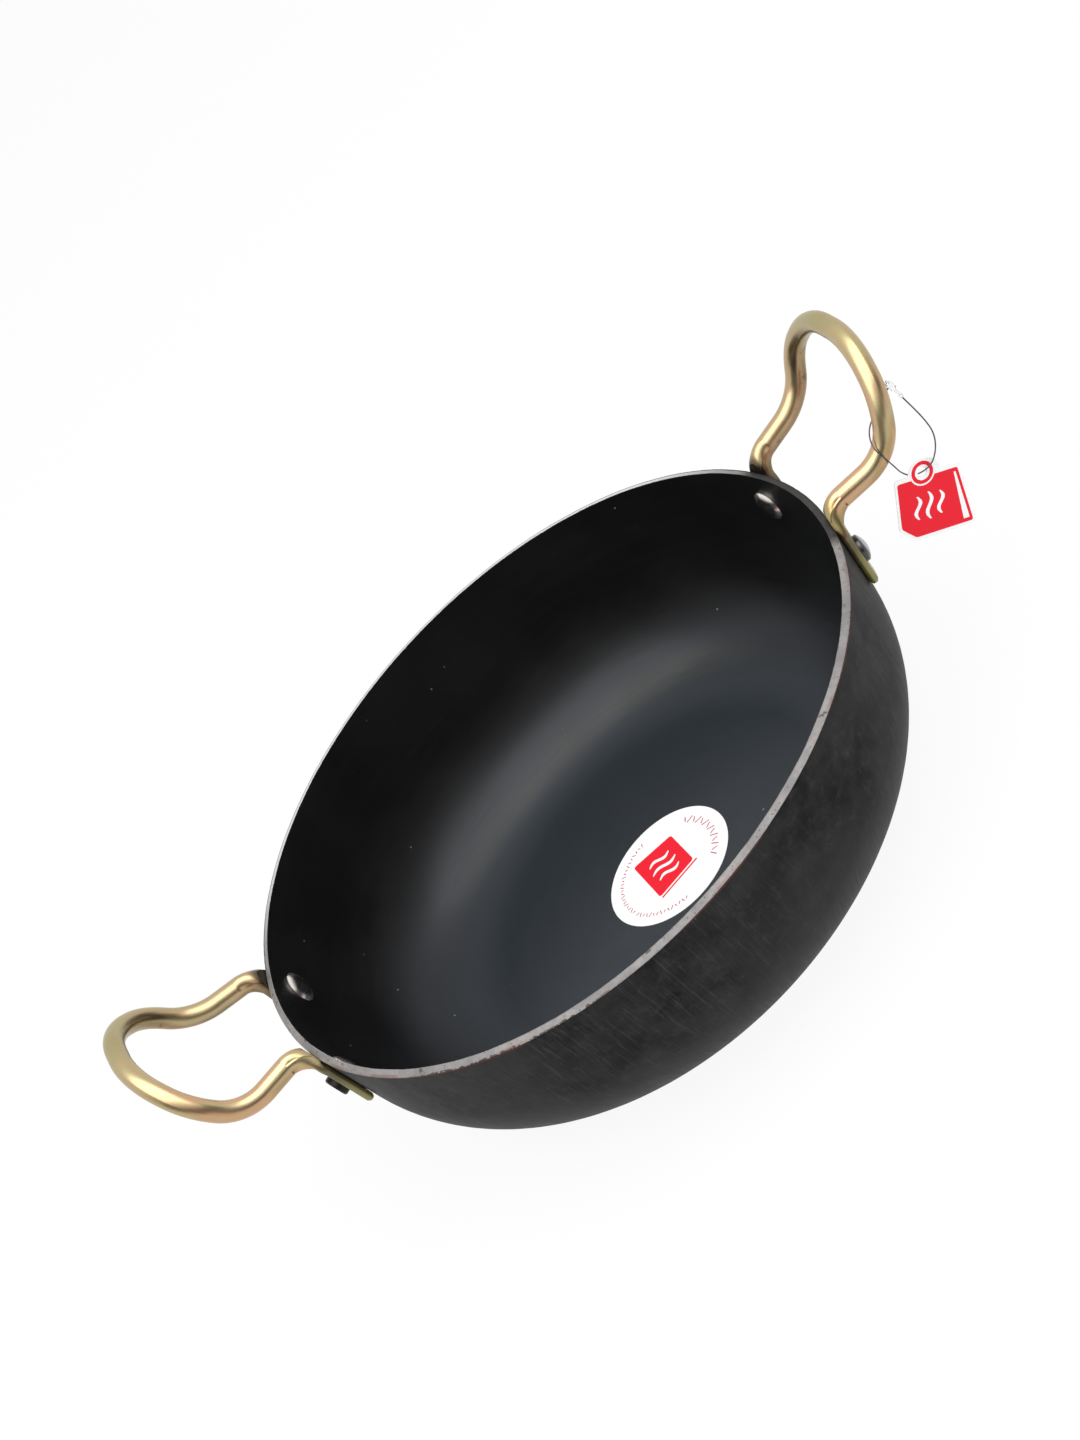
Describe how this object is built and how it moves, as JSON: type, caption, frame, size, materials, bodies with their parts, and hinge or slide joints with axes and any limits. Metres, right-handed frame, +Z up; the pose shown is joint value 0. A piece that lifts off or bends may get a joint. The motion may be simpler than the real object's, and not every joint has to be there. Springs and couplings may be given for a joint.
{
  "type": "kadai",
  "caption": "Round flat-based black metal cooking pan with a thick bevelled rim, riveted bent-rod loop handles, a floor label and a hang tag on a thread loop.",
  "frame": {"origin": "middle of the flat base's underside", "axes": "+Z up out of the bowl's mouth, +X through the middle of the handle that carries the hang tag, -Y towards the side seen in the picture"},
  "size_m": [0.3438, 0.25, 0.1142],
  "materials": {
    "blackened_iron": "satin black inside, brushed charcoal outside, bare bevelled rim",
    "gold_plating": "yellow plated steel with pink and green tints",
    "rivet_steel": "dull steel with bright crowns",
    "label_paper": "white coated paper with a red motif",
    "tag_card": "glossy red card with a white border",
    "dark_thread": "dark nylon filament",
    "clear_plastic": "clear moulded plastic"
  },
  "bodies": {
    "root": {"bowl": "blackened_iron", "handle_left": "gold_plating", "handle_right": "gold_plating", "rivet_left_near": "rivet_steel", "rivet_left_far": "rivet_steel", "rivet_right_near": "rivet_steel", "rivet_right_far": "rivet_steel", "label_sticker": "label_paper"},
    "tag_loop": {"tag_thread": "dark_thread", "tag_lock": "clear_plastic"},
    "tag_card": {"hang_tag": "tag_card"}
  },
  "joints": [
    {"name": "loop_swing", "type": "hinge", "parent": "root", "child": "tag_loop", "pos_m": [0.14947, -0.03229, 0.08251], "axis": [0.8288, -0.065, 0.5558], "range_deg": [-60, 2]},
    {"name": "card_swing", "type": "hinge", "parent": "tag_loop", "child": "tag_card", "pos_m": [0.1547, -0.0328, 0.06575], "axis": [0, 1, 0], "range_deg": [-45, 15]}
  ]
}
